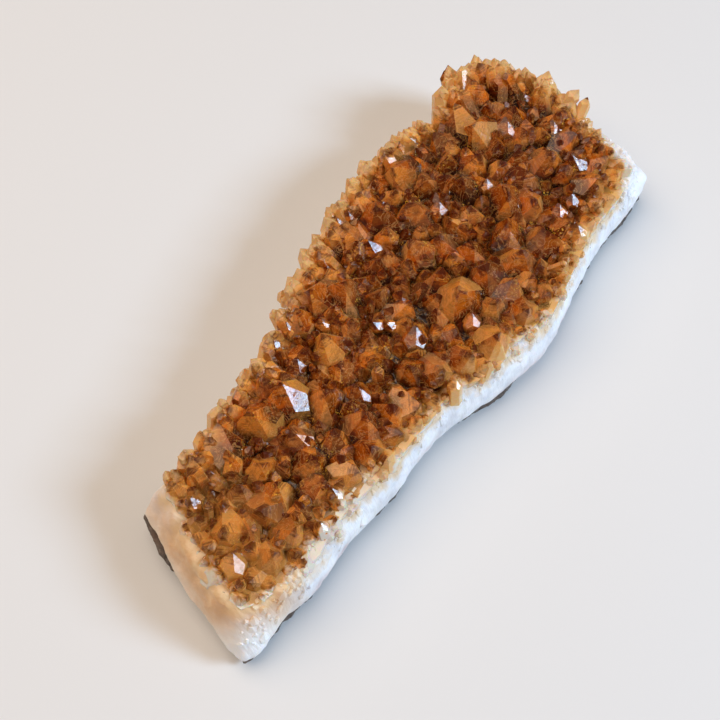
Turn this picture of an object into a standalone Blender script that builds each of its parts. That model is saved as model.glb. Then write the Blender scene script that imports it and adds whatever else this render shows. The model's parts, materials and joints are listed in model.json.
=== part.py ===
"""A citrine cluster: a slab broken out of a geode, lying with its crystals up.

Three bodies lie on one another and never move. A dark basalt rind carries a band of white quartz,
and on the quartz grows a crust of pointed citrine crystals that have fused where they meet.
Lengths are in millimetres until a mesh is made. +X runs along the slab towards its wide end,
+Z is up, and the origin is the middle of the flat patch that the rind rests on.
"""

import math
import random

import bmesh
import bpy
import numpy as np
from mathutils import Matrix, Vector
from mathutils.geometry import intersect_point_line

METRES = 0.001
GAP = 0.4  # clear space left between two bodies that touch

# Heights of the layers above the table, in the middle of the slab
RIND_TOP = 4.6
QUARTZ_BOTTOM = RIND_TOP + GAP
QUARTZ_TOP = 13.2
BED_TOP = QUARTZ_TOP + 2.8

# The slab's middle line, which every section of its edge faces
SPINE = (Vector((-56.0, 0.0)), Vector((60.0, -1.0)))

# Sections round the slab's edge, anticlockwise from the corner at the broken end: the outermost
# point of the quartz (x, y), the edge of the crystals (x, y), then three heights, of the quartz's
# lower edge, of the crease above its side and of the crystals' edge, and how far the rind's edge
# stands inside the quartz's lower edge.
SECTIONS = [
    (-70.6, 21.3, -65.0, 18.0, 7.6, 9.8, 14.6, -1.9),
    (-72.7, 16.2, -67.5, 13.0, 7.2, 9.2, 15.0, -2.5),
    (-74.8, 11.8, -69.5, 9.0, 6.8, 8.6, 15.2, -2.4),
    (-77.2, 7.6, -72.0, 5.0, 5.8, 7.8, 15.4, -1.0),
    (-80.0, 0.3, -74.0, 1.0, 4.8, 7.2, 15.4, 3.4),
    (-82.7, -7.4, -75.8, -4.5, 4.2, 6.8, 15.2, 4.6),
    (-85.0, -13.5, -77.6, -9.0, 3.4, 6.2, 14.8, 2.4),
    (-85.6, -17.2, -77.6, -12.2, 2.8, 6.0, 14.4, 0.4),
    (-82.0, -19.6, -75.6, -14.2, 2.6, 6.8, 14.2, 1.8),
    (-76.6, -19.6, -73.2, -15.6, 2.6, 8.6, 14.2, 1.0),
    (-74.6, -18.6, -70.8, -16.2, 2.6, 9.6, 14.4, -0.3),
    (-68.0, -20.6, -66.6, -17.4, 2.8, 10.4, 14.8, -0.6),
    (-60.5, -21.4, -60.0, -17.6, 2.6, 10.8, 15.0, 0.6),
    (-50.5, -21.3, -51.5, -17.0, 2.6, 11.0, 15.2, -0.4),
    (-42.5, -22.2, -43.0, -17.2, 2.6, 11.2, 15.2, 1.2),
    (-34.0, -23.3, -33.5, -19.0, 3.0, 11.2, 15.2, -0.5),
    (-25.5, -23.2, -24.5, -20.0, 3.0, 11.0, 15.0, 1.0),
    (-16.5, -23.6, -14.5, -21.4, 2.6, 10.8, 14.8, 1.6),
    (-8.0, -25.6, -5.5, -22.8, 3.0, 10.6, 14.6, -0.8),
    (2.5, -29.6, 3.0, -26.2, 3.0, 10.4, 14.8, -1.0),
    (12.0, -31.8, 11.5, -27.8, 2.8, 10.6, 15.0, 0.8),
    (21.5, -33.4, 19.5, -29.6, 2.6, 10.8, 15.0, 1.6),
    (28.0, -32.8, 26.5, -29.4, 2.6, 10.8, 15.0, 0.6),
    (38.0, -31.2, 36.0, -28.2, 2.8, 10.8, 15.0, -0.2),
    (49.0, -30.0, 46.5, -26.2, 2.8, 10.8, 15.2, -0.4),
    (60.0, -29.8, 57.0, -26.2, 2.8, 11.0, 15.2, -0.2),
    (71.0, -30.4, 66.0, -26.2, 2.8, 11.2, 15.0, -0.3),
    (79.0, -31.0, 71.5, -24.0, 3.2, 11.6, 14.6, -0.4),
    (82.4, -26.0, 75.0, -20.5, 3.4, 11.8, 14.6, 0.8),
    (83.6, -17.0, 79.6, -14.5, 3.4, 11.6, 15.0, 3.0),
    (84.6, -6.0, 82.0, -5.5, 3.2, 11.4, 15.6, 4.0),
    (85.4, 6.0, 83.2, 6.0, 3.2, 11.4, 15.8, 3.0),
    (84.6, 17.0, 82.4, 16.5, 3.4, 11.4, 15.6, 3.0),
    (80.8, 25.0, 79.0, 23.6, 3.4, 11.2, 15.2, 4.0),
    (72.5, 27.6, 72.0, 25.6, 3.4, 11.0, 15.0, 3.0),
    (60.0, 26.8, 60.0, 24.8, 3.4, 10.6, 14.8, 3.0),
    (49.0, 29.0, 49.0, 27.0, 3.4, 10.6, 14.8, 4.0),
    (37.0, 31.6, 37.0, 29.6, 3.4, 10.6, 14.8, 5.0),
    (27.0, 31.4, 27.0, 29.4, 3.4, 10.4, 14.6, 4.0),
    (14.0, 29.6, 14.0, 27.6, 3.4, 10.4, 14.6, 3.0),
    (0.0, 27.4, 0.0, 25.2, 3.6, 10.4, 14.6, 4.0),
    (-14.0, 24.4, -14.0, 22.0, 3.8, 10.4, 14.6, 3.0),
    (-27.0, 21.6, -27.0, 19.4, 4.0, 10.4, 14.4, 2.0),
    (-40.0, 20.6, -40.0, 18.4, 4.6, 10.4, 14.4, 3.0),
    (-52.0, 19.6, -52.0, 17.2, 5.4, 10.2, 14.2, 2.0),
    (-61.0, 20.6, -60.0, 17.4, 6.4, 10.0, 14.2, 0.6),
    (-66.6, 22.5, -63.5, 18.4, 7.4, 10.0, 14.2, -1.0),
]
RING_POINTS = 60
UNDERCUT = 0.7  # the quartz's lower edge stands this far inside its outermost line
LAYER_RUN = 13.0  # over this distance from the edge, the layers bend down to the middle's heights
CREST_RUN = 7.0  # the same for the quartz's top, measured from the edge of the crystals
BROKEN_SIDE = 0.45  # depth of the chips in the broken sides

# Crystals
FACE_SLOPE = math.radians(51.8)  # quartz's end faces against the base of its prism
LONG_SIDE = Vector((-0.07, -0.53, 0.84))  # where a large face looks, on crystals turned to the long side
LONG_SIDE_FAN = -0.0016  # that direction's change in x with each mm along the slab
# The large crystals, from the broken end to the wide one: their tips' x and y, their width across,
# and 1 if one of their end faces looks along LONG_SIDE
LARGE_CRYSTALS = [
    (-76.2, -12.4, 6.7, 0), (-74.8, -4.6, 7.5, 0), (-71.0, -9.1, 7.4, 1), (-67.4, -0.7, 9.2, 0),
    (-71.0, 5.4, 6.7, 0), (-70.4, -15.6, 6.7, 0), (-64.9, 9.0, 6.2, 1), (-64.3, -12.2, 9.2, 0),
    (-63.6, 17.0, 6.5, 0), (-58.8, -4.9, 8.8, 0), (-56.9, 11.2, 7.7, 0), (-56.2, 3.3, 7.9, 0),
    (-61.6, 4.0, 6.7, 0), (-53.4, -15.0, 6.2, 1), (-54.8, 18.2, 6.7, 0), (-50.6, -3.6, 8.6, 0),
    (-49.4, 8.4, 8.2, 1), (-49.4, 1.8, 7.3, 0), (-47.2, 16.4, 6.9, 0), (-45.3, -14.9, 6.1, 1),
    (-41.9, -7.2, 10.4, 0), (-42.2, 11.4, 7.3, 0), (-40.2, 5.0, 7.9, 0), (-38.6, -16.8, 7.5, 0),
    (-38.0, -1.8, 8.1, 0), (-39.4, 20.2, 6.9, 0), (-33.4, -6.4, 8.8, 0), (-32.4, 4.8, 9.3, 1),
    (-32.2, -15.4, 7.7, 0), (-32.4, 14.4, 7.7, 0), (-31.2, 21.4, 6.5, 0), (-26.8, 0.4, 7.9, 0),
    (-26.9, -10.4, 9.2, 0), (-25.0, -19.0, 7.3, 0), (-24.0, 9.6, 7.1, 1), (-24.6, 16.4, 7.3, 0),
    (-23.2, 21.8, 6.7, 0), (-21.4, -6.8, 6.4, 1), (-20.4, -13.6, 8.6, 0), (-19.0, 3.0, 7.7, 0),
    (-16.7, -18.6, 7.7, 0), (-16.4, 18.4, 6.1, 1), (-15.2, 9.6, 7.9, 0), (-13.0, 24.2, 6.7, 0),
    (-13.4, -3.2, 8.6, 0), (-11.0, -11.6, 9.2, 0), (-10.8, 12.8, 6.1, 1), (-7.2, 19.4, 7.5, 0),
    (-7.6, -18.6, 7.7, 0), (-7.2, 6.6, 7.9, 0), (-4.1, 0.4, 6.9, 1), (-2.1, -9.5, 6.6, 1),
    (-3.2, 26.6, 6.9, 0), (-1.0, 13.4, 9.4, 0), (0.4, -21.8, 7.3, 0), (2.6, 5.6, 8.3, 0),
    (1.6, 20.6, 6.9, 0), (4.6, -15.6, 8.1, 0), (4.8, -3.0, 8.8, 0), (5.4, 28.2, 6.9, 0),
    (8.2, 19.0, 7.7, 0), (7.9, -24.6, 8.6, 0), (11.0, 10.2, 7.7, 0), (12.0, -11.4, 8.4, 0),
    (10.6, 3.2, 7.9, 0), (14.8, 15.6, 7.5, 1), (14.0, 24.6, 7.3, 0), (16.2, -18.6, 8.1, 0),
    (17.4, -3.4, 8.8, 0), (17.0, 30.4, 6.9, 0), (18.6, -26.8, 7.7, 0), (18.8, 8.0, 8.1, 0),
    (22.6, -11.8, 9.4, 0), (22.4, 19.4, 8.1, 0), (24.4, -20.2, 7.5, 0), (25.2, 2.6, 8.8, 0),
    (25.4, 27.4, 8.3, 0), (26.6, -28.0, 6.7, 0), (28.8, -4.8, 8.6, 0), (29.2, 14.0, 8.3, 0),
    (30.8, 32.2, 7.1, 0), (31.4, -17.4, 7.9, 0), (32.2, 7.0, 7.4, 1), (34.6, -25.8, 7.3, 0),
    (34.6, 23.2, 8.3, 0), (36.6, -10.2, 8.8, 0), (37.6, 0.4, 8.3, 0), (39.6, 31.0, 7.3, 0),
    (38.6, 15.2, 8.3, 0), (40.6, -18.8, 7.9, 0), (42.4, 7.0, 7.9, 0), (44.6, -5.2, 8.3, 0),
    (43.6, 22.8, 7.9, 0), (43.8, -25.6, 6.9, 0), (46.8, -13.0, 7.9, 0), (47.4, 1.2, 6.7, 1),
    (48.6, 29.2, 7.1, 0), (48.0, 14.2, 8.6, 0), (50.4, -20.4, 6.6, 1), (52.8, 7.4, 8.3, 0),
    (53.2, 21.4, 8.1, 0), (54.2, -6.2, 8.8, 0), (57.2, -14.4, 6.4, 1), (57.4, 27.6, 7.1, 0),
    (56.4, -23.6, 7.5, 0), (59.0, 14.0, 8.4, 0), (60.6, 0.2, 8.4, 0), (62.6, -8.2, 8.1, 0),
    (63.2, 21.6, 8.1, 0), (64.2, -22.6, 7.5, 0), (66.8, 6.6, 7.4, 1), (67.4, 27.8, 6.9, 0),
    (66.6, -15.6, 6.7, 1), (69.6, -2.6, 8.3, 0), (69.4, 14.8, 8.1, 0), (72.4, -20.2, 6.7, 0),
    (73.8, -9.6, 7.9, 0), (73.6, 22.4, 7.7, 0), (75.8, 29.2, 6.7, 0), (76.2, -1.4, 6.9, 1),
    (77.0, 15.6, 6.6, 1), (78.8, 7.2, 7.1, 1), (80.6, -10.0, 6.7, 0), (82.4, 27.6, 6.7, 0),
    (84.4, 12.6, 7.5, 0), (84.6, -2.2, 6.9, 0), (86.6, 20.6, 6.9, 0), (88.4, 6.0, 6.9, 0),
]  # fmt: skip
# Smaller crystals fill what is left, in rounds of falling width: widest, narrowest, darts thrown
FILLING_ROUNDS = [(7.8, 6.6, 1200)]
CROWDING = 0.46  # a crystal keeps this share of both widths from its neighbour's tip
EDGE_ROW = 2.0  # crystals whose tips are within this distance of the edge, or past it, stand lower
SEED = 11

BASALT_GREY = (0.085, 0.075, 0.068, 1.0)
QUARTZ_WHITE = (0.78, 0.76, 0.74, 1.0)
CITRINE_AMBER = (0.50, 0.20, 0.045, 1.0)


def new_collection(name):
    collection = bpy.data.collections.new(name)
    bpy.context.scene.collection.children.link(collection)
    return collection


def new_material(name, colour, roughness, transmission=0.0):
    material = bpy.data.materials.new(name)
    material.use_nodes = True
    shader = material.node_tree.nodes["Principled BSDF"]
    shader.inputs["Base Color"].default_value = colour
    shader.inputs["Roughness"].default_value = roughness
    shader.inputs["Transmission Weight"].default_value = transmission
    material.diffuse_color = colour
    return material


def edge_sections():
    """SECTIONS joined by a closed Catmull-Rom curve, read at RING_POINTS even steps round the rim."""
    rows = np.array(SECTIONS)
    before, after, beyond = np.roll(rows, 1, 0), np.roll(rows, -1, 0), np.roll(rows, -2, 0)
    steps = np.linspace(0, 1, 12, endpoint=False)[:, None, None]
    curve = 0.5 * (
        2 * rows
        + (after - before) * steps
        + (2 * before - 5 * rows + 4 * after - beyond) * steps**2
        + (3 * rows - before - 3 * after + beyond) * steps**3
    )
    curve = curve.transpose(1, 0, 2).reshape(-1, rows.shape[1])
    closed = np.vstack([curve, curve[:1]])
    walked = np.concatenate([[0], np.cumsum(np.hypot(*np.diff(closed[:, :2], axis=0).T))])
    even = np.linspace(0, walked[-1], RING_POINTS, endpoint=False)
    return np.stack([np.interp(even, walked, column) for column in closed.T], axis=1)


def on_spine(point):
    nearest, share = intersect_point_line(point, *SPINE)
    return SPINE[0].lerp(SPINE[1], min(max(share, 0.0), 1.0))


def inward(point, distance):
    """A point of the plan moved towards the slab's middle line."""
    return point + (on_spine(point) - point).normalized() * distance


def ring(points, heights):
    return [Vector((p.x, p.y, float(z))) for p, z in zip(points, heights)]


def body_through(name, rings, material, collection):
    """One closed body through a stack of rings, from the middle of its underside, round its edge and
    over to the middle of its top. The first and the last ring are filled flat."""
    bm = bmesh.new()
    rows = [[bm.verts.new(p * METRES) for p in one] for one in rings]
    for lower, upper in zip(rows, rows[1:]):
        for j in range(len(lower)):
            k = (j + 1) % len(lower)
            bm.faces.new((lower[j], lower[k], upper[k], upper[j]))
    bm.faces.new(list(reversed(rows[0])))
    bm.faces.new(rows[-1])
    bmesh.ops.triangulate(bm, faces=bm.faces)
    bmesh.ops.recalc_face_normals(bm, faces=bm.faces)
    mesh = bpy.data.meshes.new(name)
    bm.to_mesh(mesh)
    bm.free()
    mesh.materials.append(material)
    body = bpy.data.objects.new(name, mesh)
    collection.objects.link(body)
    return body


def plan_of(sections, first_column):
    return [Vector(row[first_column : first_column + 2]) for row in sections]


def quartz_rings(sections, chips, grow=0.0):
    """The white quartz: flat underneath in its middle, a steep broken side, a crease, and a slope up to
    the crystals' edge. With grow, the same shape swollen by that much."""
    rim, crest = plan_of(sections, 0), plan_of(sections, 2)
    low, crease, crest_height = sections[:, 4], sections[:, 5], sections[:, 6]
    slope = [
        inward(rim[i], 0.6).lerp(crest[i], 0.5 + 0.12 * chips[i]) for i in range(len(rim))
    ]
    return [
        ring([inward(p, LAYER_RUN) for p in rim], [QUARTZ_BOTTOM - grow] * len(rim)),
        ring([inward(p, UNDERCUT - grow) for p in rim], low - grow),
        ring([inward(p, chips[i] * BROKEN_SIDE - grow) for i, p in enumerate(rim)], (low + crease) / 2),
        ring([inward(p, 0.6 - grow) for p in rim], crease + grow),
        ring([inward(p, -grow) for p in slope], (crease + crest_height) / 2 + 0.5 + grow + 0.5 * chips),
        ring([inward(p, -grow) for p in crest], crest_height + grow),
        ring([inward(p, CREST_RUN) for p in crest], [QUARTZ_TOP + grow] * len(crest)),
    ]


def rind_rings(sections, chips):
    """The basalt rind: it follows the quartz's underside a gap below, its broken edge shows here and
    there, and its rounded back is worn flat in the middle, where it rests."""
    rim, low, end = plan_of(sections, 0), sections[:, 4], sections[:, 7]
    edge = UNDERCUT + end + 0.3 * chips
    climb = np.clip((edge - UNDERCUT) / (LAYER_RUN - UNDERCUT), 0, 1)
    top = low + (QUARTZ_BOTTOM - low) * climb - GAP
    return [
        ring([inward(p, LAYER_RUN + 1.0) for p in rim], [0.0] * len(rim)),
        ring([inward(p, e + 3.0) for p, e in zip(rim, edge)], 0.16 * top),
        ring([inward(p, e + 0.5) for p, e in zip(rim, edge)], 0.62 * top),
        ring([inward(p, e) for p, e in zip(rim, edge)], top),
        ring([inward(p, LAYER_RUN) for p in rim], [RIND_TOP] * len(rim)),
    ]


def bed_rings(sections):
    """The layer that all crystals stand in. It starts inside the quartz, which is then cut away."""
    crest, height = plan_of(sections, 2), sections[:, 6]
    within = [inward(p, CREST_RUN) for p in crest]
    edge = [inward(p, 1.2) for p in crest]
    return [
        ring(within, [QUARTZ_TOP - 1.0] * len(crest)),
        ring(edge, height - 1.0),
        ring(edge, height + 1.2),
        ring(within, [BED_TOP] * len(crest)),
    ]


def inside(point, outline):
    """True if a point of the plan lies inside a closed outline."""
    crossings = 0
    for a, b in zip(outline, outline[1:] + outline[:1]):
        if (a.y > point.y) != (b.y > point.y):
            crossings += point.x < a.x + (point.y - a.y) * (b.x - a.x) / (b.y - a.y)
    return crossings % 2 == 1


def depth_inside(point, outline):
    """How far a point of the plan lies within a closed outline; below 0 outside it."""
    distance = min((point - corner).length for corner in outline)
    return distance if inside(point, outline) else -distance


def crystal_tips(outline):
    """Where each crystal's tip is, seen from above, and how wide it is: the large ones, then darts that
    land clear of all crystals before them."""
    rng = random.Random(SEED)
    tips = [(Vector((x, y)), width, bool(turned)) for x, y, width, turned in LARGE_CRYSTALS]
    low = [min(p[i] for p in outline) for i in (0, 1)]
    high = [max(p[i] for p in outline) for i in (0, 1)]
    for widest, narrowest, darts in FILLING_ROUNDS:
        for _ in range(darts):
            point = Vector((rng.uniform(low[0], high[0]), rng.uniform(low[1], high[1])))
            width = rng.uniform(narrowest, widest)
            if depth_inside(point, outline) < 0.2 * width:
                continue
            if all((point - q).length > CROWDING * (width + w) for q, w, _ in tips):
                tips.append((point, width, False))
    return tips


def leaning_axis(tip, outline, rng):
    """The way a crystal points: up, fanned outwards near the slab's edge, and a little at random."""
    out = (tip - on_spine(tip)).normalized()
    depth = depth_inside(tip, outline)
    lean = math.radians(min(max(28.0 - 3.2 * depth, 3.0), 46.0))
    axis = Vector((out.x * math.sin(lean), out.y * math.sin(lean), math.cos(lean)))
    axis += Vector((rng.gauss(0, 0.15), rng.gauss(0, 0.15), 0))
    return axis.normalized()


def axis_facing(direction, rng):
    """An axis, nearest to upright, for which one of the crystal's end faces looks in a direction."""
    away = (Vector((0, 0, 1)) - direction * direction.z).normalized()
    away.rotate(Matrix.Rotation(rng.uniform(-0.6, 0.6), 3, direction))
    return (direction * math.cos(FACE_SLOPE) + away * math.sin(FACE_SLOPE)).normalized()


def crystal(index, width, length, rng, material, collection):
    """One six-sided quartz point, standing on the origin: a prism cut to a tip by three large faces and
    three small ones."""
    bm = bmesh.new()
    corner = width / math.sqrt(3)
    bmesh.ops.create_cone(
        bm, cap_ends=True, segments=6, radius1=corner, radius2=corner, depth=length
    )
    bmesh.ops.translate(bm, verts=bm.verts, vec=(0, 0, length / 2))
    bmesh.ops.scale(bm, verts=bm.verts, vec=(rng.uniform(0.9, 1.1), rng.uniform(0.9, 1.1), 1))
    for side in range(6):
        turn = math.radians(30 + 60 * side)
        normal = Vector((0, 0, 1)) * math.cos(FACE_SLOPE)
        normal += Vector((math.cos(turn), math.sin(turn), 0)) * math.sin(FACE_SLOPE)
        raised = rng.uniform(-0.03, 0.03) if side % 2 == 0 else rng.uniform(0.03, 0.26)
        bmesh.ops.bisect_plane(
            bm, geom=bm.verts[:] + bm.edges[:] + bm.faces[:], dist=1e-5,
            plane_co=(0, 0, length + raised * width), plane_no=normal, clear_outer=True,
        )  # fmt: skip
        bmesh.ops.holes_fill(bm, edges=bm.edges)
    bmesh.ops.recalc_face_normals(bm, faces=bm.faces)
    mesh = bpy.data.meshes.new(f"crystal_{index}")
    bm.to_mesh(mesh)
    bm.free()
    mesh.transform(Matrix.Scale(METRES, 4))
    mesh.materials.append(material)
    piece = bpy.data.objects.new(mesh.name, mesh)
    piece.display_type = "WIRE"
    piece.hide_render = True
    collection.objects.link(piece)
    return piece


def stand_crystals(sections, material, collection):
    """All crystals in their places, each with its foot in the bed and its tip free."""
    outline = plan_of(sections, 2)
    for index, (tip, width, turned) in enumerate(crystal_tips(outline)):
        rng = random.Random(SEED * 1000 + index)
        if turned:
            facing = (LONG_SIDE + Vector((LONG_SIDE_FAN * tip.x, 0, 0))).normalized()
            axis = axis_facing(facing, rng)
        else:
            axis = leaning_axis(tip, outline, rng)
        rise = width * rng.uniform(0.6, 0.9)
        if depth_inside(tip, outline) < EDGE_ROW:
            rise *= 0.72
        top = Vector((tip.x, tip.y, BED_TOP + rise + 0.4))
        spin = rng.uniform(0, math.tau)
        length = (top.z - QUARTZ_TOP - 0.9) / axis.z
        piece = crystal(index, width, length, rng, material, collection)
        if turned:
            # an end face is 30 degrees round the axis: turn it to look the right way
            sideways = (facing - axis * facing.dot(axis)).normalized()
            frame = Matrix((sideways, axis.cross(sideways), axis)).transposed()
            frame = frame @ Matrix.Rotation(math.radians(-30), 3, "Z")
        else:
            frame = axis.to_track_quat("Z", "Y").to_matrix() @ Matrix.Rotation(spin, 3, "Z")
        foot = top - axis * length
        piece.matrix_world = Matrix.Translation(foot * METRES) @ frame.to_4x4()


def fuse(body, name, operation, **operand):
    boolean = body.modifiers.new(name, "BOOLEAN")
    boolean.operation = operation
    boolean.solver = "EXACT"
    for key, value in operand.items():
        setattr(boolean, key, value)


def fill_pockets(body):
    """Replace a body by the outer skin of what its modifiers make: a pocket that the crystals close
    over is filled."""
    evaluated = body.evaluated_get(bpy.context.evaluated_depsgraph_get())
    mesh = bpy.data.meshes.new_from_object(evaluated)
    bm = bmesh.new()
    bm.from_mesh(mesh)
    islands = []
    unseen = set(bm.faces)
    while unseen:
        island, edge_of_search = set(), [unseen.pop()]
        while edge_of_search:
            face = edge_of_search.pop()
            island.add(face)
            beside = {f for edge in face.edges for f in edge.link_faces} & unseen
            unseen -= beside
            edge_of_search += beside
        islands.append(island)
    skin = max(islands, key=len)
    bmesh.ops.delete(bm, geom=[f for f in bm.faces if f not in skin], context="FACES")
    bm.to_mesh(mesh)
    bm.free()
    body.modifiers.clear()
    body.data = mesh


def build():
    for leftover in list(bpy.data.objects):
        bpy.data.objects.remove(leftover)
    cluster = new_collection("citrine_cluster")
    helpers = new_collection("cutters")
    points = new_collection("crystal_points")
    basalt = new_material("basalt", BASALT_GREY, 0.9)
    quartz = new_material("white_quartz", QUARTZ_WHITE, 0.45)
    citrine = new_material("citrine", CITRINE_AMBER, 0.12, transmission=0.5)

    sections = edge_sections()
    chips = np.array([random.Random(SEED + i).uniform(-1, 1) for i in range(RING_POINTS)])
    body_through("basalt_rind", rind_rings(sections, chips), basalt, cluster)
    body_through("white_quartz_base", quartz_rings(sections, chips), quartz, cluster)

    swollen_quartz = body_through("quartz_cutter", quartz_rings(sections, chips, GAP), quartz, helpers)
    swollen_quartz.display_type = "WIRE"
    swollen_quartz.hide_render = True
    crust = body_through("citrine_crystals", bed_rings(sections), citrine, cluster)
    stand_crystals(sections, citrine, points)
    fuse(crust, "grow_crystals", "UNION", operand_type="COLLECTION", collection=points)
    fuse(crust, "clear_of_quartz", "DIFFERENCE", object=swollen_quartz)
    fill_pockets(crust)


build()
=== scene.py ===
import json
import math
import random

import bpy
from mathutils import Matrix, Vector
from mathutils.bvhtree import BVHTree
from mathutils.kdtree import KDTree

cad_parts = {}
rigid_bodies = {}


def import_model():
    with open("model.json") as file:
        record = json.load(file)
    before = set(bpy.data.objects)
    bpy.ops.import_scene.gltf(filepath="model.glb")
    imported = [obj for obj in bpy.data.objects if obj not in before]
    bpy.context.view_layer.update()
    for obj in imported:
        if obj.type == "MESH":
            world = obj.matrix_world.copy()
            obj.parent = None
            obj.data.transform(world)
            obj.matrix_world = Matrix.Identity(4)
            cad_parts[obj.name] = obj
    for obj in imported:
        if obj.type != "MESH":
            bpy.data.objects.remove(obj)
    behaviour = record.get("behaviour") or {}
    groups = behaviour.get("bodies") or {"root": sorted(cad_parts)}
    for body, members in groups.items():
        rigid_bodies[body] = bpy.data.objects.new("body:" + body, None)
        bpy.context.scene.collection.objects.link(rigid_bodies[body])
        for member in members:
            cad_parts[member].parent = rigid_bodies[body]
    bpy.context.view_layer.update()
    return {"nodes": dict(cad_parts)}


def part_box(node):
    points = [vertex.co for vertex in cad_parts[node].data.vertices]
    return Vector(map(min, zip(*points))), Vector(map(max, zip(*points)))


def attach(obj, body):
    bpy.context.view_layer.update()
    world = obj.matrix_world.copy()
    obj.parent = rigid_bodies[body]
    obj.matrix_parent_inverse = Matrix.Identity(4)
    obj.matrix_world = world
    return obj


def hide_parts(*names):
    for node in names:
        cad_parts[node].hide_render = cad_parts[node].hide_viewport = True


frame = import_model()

# --- The basalt rind ---------------------------------------------------------------------------
# The outer skin of the geode: dark, vesicular lava rock that the quartz grew on. It broke with the
# slab, so its edge is ragged, and its back is worn nearly flat where the slab rests.

MM = 0.001
RIND_GRAIN = 0.6 * MM
MERGED = 0.001 * MM  # corners nearer than this are one
WORN_CORNER = Vector((-67, 3, 0)) * MM  # past this corner the rind's edge is worn back
WEAR = Vector((0.6, -0.3, 0)) * MM
WORN_BAY = 0.9 * MM  # and it is worn this deep along a stretch of one long side
BAY_START, BAY_END = -24 * MM, 4 * MM


def select_only(piece):
    bpy.ops.object.select_all(action="DESELECT")
    piece.select_set(True)
    bpy.context.view_layer.objects.active = piece


bpy.context.tool_settings.mesh_select_mode = (False, False, True)


def copy_of_node(node, name):
    """A copy of a frame solid as a new piece of its own, with its loose triangles merged."""
    select_only(frame["nodes"][node])
    bpy.ops.object.duplicate()
    piece = bpy.context.object
    piece.name = name
    piece.data.name = name
    bpy.ops.object.transform_apply(location=True, rotation=True, scale=True)
    bpy.ops.object.mode_set(mode="EDIT")
    bpy.ops.mesh.select_all(action="SELECT")
    bpy.ops.mesh.remove_doubles(threshold=MERGED)
    bpy.ops.mesh.normals_make_consistent(inside=False)
    bpy.ops.mesh.select_all(action="DESELECT")
    bpy.ops.object.mode_set(mode="OBJECT")
    for other in list(piece.keys()):
        if other.startswith("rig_"):
            del piece[other]
    return piece


def apply_modifiers(piece):
    """Applies all of a piece's modifiers, in their order."""
    select_only(piece)
    for modifier in list(piece.modifiers):
        bpy.ops.object.modifier_apply(modifier=modifier.name)


def remesh(piece, voxel):
    """Gives a piece an even, closed mesh of a grain in which relief can stand."""
    modifier = piece.modifiers.new("remesh", "REMESH")
    modifier.mode = "VOXEL"
    modifier.voxel_size = voxel


def soften(piece, times):
    modifier = piece.modifiers.new("soften", "SMOOTH")
    modifier.factor = 0.5
    modifier.iterations = times


def roughen(piece, kind, size, height, group=""):
    """Moves the surface in and out by half of height, in a procedural pattern of a size."""
    texture = bpy.data.textures.new(piece.name + kind, kind)
    texture.noise_scale = size
    modifier = piece.modifiers.new(kind, "DISPLACE")
    modifier.texture = texture
    modifier.texture_coords = "LOCAL"
    modifier.strength = height
    modifier.mid_level = 0.5
    modifier.vertex_group = group


def nodes_of(name):
    """A new material with a Principled shader: the material, its shader and its node tree."""
    material = bpy.data.materials.new(name)
    material.use_nodes = True
    tree = material.node_tree
    return material, tree.nodes["Principled BSDF"], tree


def wire(tree, source, target):
    """Links one node's socket to another's."""
    tree.links.new(source, target)


def noise(tree, scale, detail=4.0, roughness=0.55, stretch=(1, 1, 1), distortion=0.0):
    """A noise pattern on the piece's own coordinates, in metres. Returns its value socket."""
    place = tree.nodes.new("ShaderNodeTexCoord")
    mapping = tree.nodes.new("ShaderNodeMapping")
    mapping.inputs["Scale"].default_value = stretch
    pattern = tree.nodes.new("ShaderNodeTexNoise")
    pattern.inputs["Scale"].default_value = scale
    pattern.inputs["Detail"].default_value = detail
    pattern.inputs["Roughness"].default_value = roughness
    pattern.inputs["Distortion"].default_value = distortion
    wire(tree, place.outputs["Object"], mapping.inputs["Vector"])
    wire(tree, mapping.outputs["Vector"], pattern.inputs["Vector"])
    return pattern.outputs["Fac"]


def ramp(tree, value, *stops):
    """Colours along a value: stops are (position, colour)."""
    node = tree.nodes.new("ShaderNodeValToRGB")
    elements = node.color_ramp.elements
    while len(elements) < len(stops):
        elements.new(0.5)
    for element, (position, colour) in zip(elements, stops):
        element.position = position
        element.color = (*colour, 1)
    wire(tree, value, node.inputs["Fac"])
    return node.outputs["Color"]


def span(tree, value, low, high, to_low=0.0, to_high=1.0):
    """A value's range from low to high, mapped to another and clamped."""
    node = tree.nodes.new("ShaderNodeMapRange")
    for name, number in (("From Min", low), ("From Max", high), ("To Min", to_low), ("To Max", to_high)):
        node.inputs[name].default_value = number
    wire(tree, value, node.inputs["Value"])
    return node.outputs["Result"]


def blend(tree, share, first, second, mode="MIX"):
    """Two colours mixed by a share. A colour is a socket or three numbers."""
    node = tree.nodes.new("ShaderNodeMix")
    node.data_type = "RGBA"
    node.blend_type = mode
    for socket, colour in ((node.inputs[6], first), (node.inputs[7], second)):
        if isinstance(colour, tuple):
            socket.default_value = (*colour, 1)
        else:
            wire(tree, colour, socket)
    if isinstance(share, float):
        node.inputs[0].default_value = share
    else:
        wire(tree, share, node.inputs[0])
    return node.outputs[2]


def reckon(tree, operation, first, second=0.0):
    """A sum on two values, each a socket or a number."""
    node = tree.nodes.new("ShaderNodeMath")
    node.operation = operation
    for socket, number in ((node.inputs[0], first), (node.inputs[1], second)):
        if isinstance(number, float):
            socket.default_value = number
        else:
            wire(tree, number, socket)
    return node.outputs[0]


def bump(tree, height, distance, strength=1.0, under=None):
    """Fine relief from a value, over the relief of another bump where there is one."""
    node = tree.nodes.new("ShaderNodeBump")
    node.inputs["Distance"].default_value = distance
    node.inputs["Strength"].default_value = strength
    wire(tree, height, node.inputs["Height"])
    if under is not None:
        wire(tree, under, node.inputs["Normal"])
    return node.outputs["Normal"]


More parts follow.
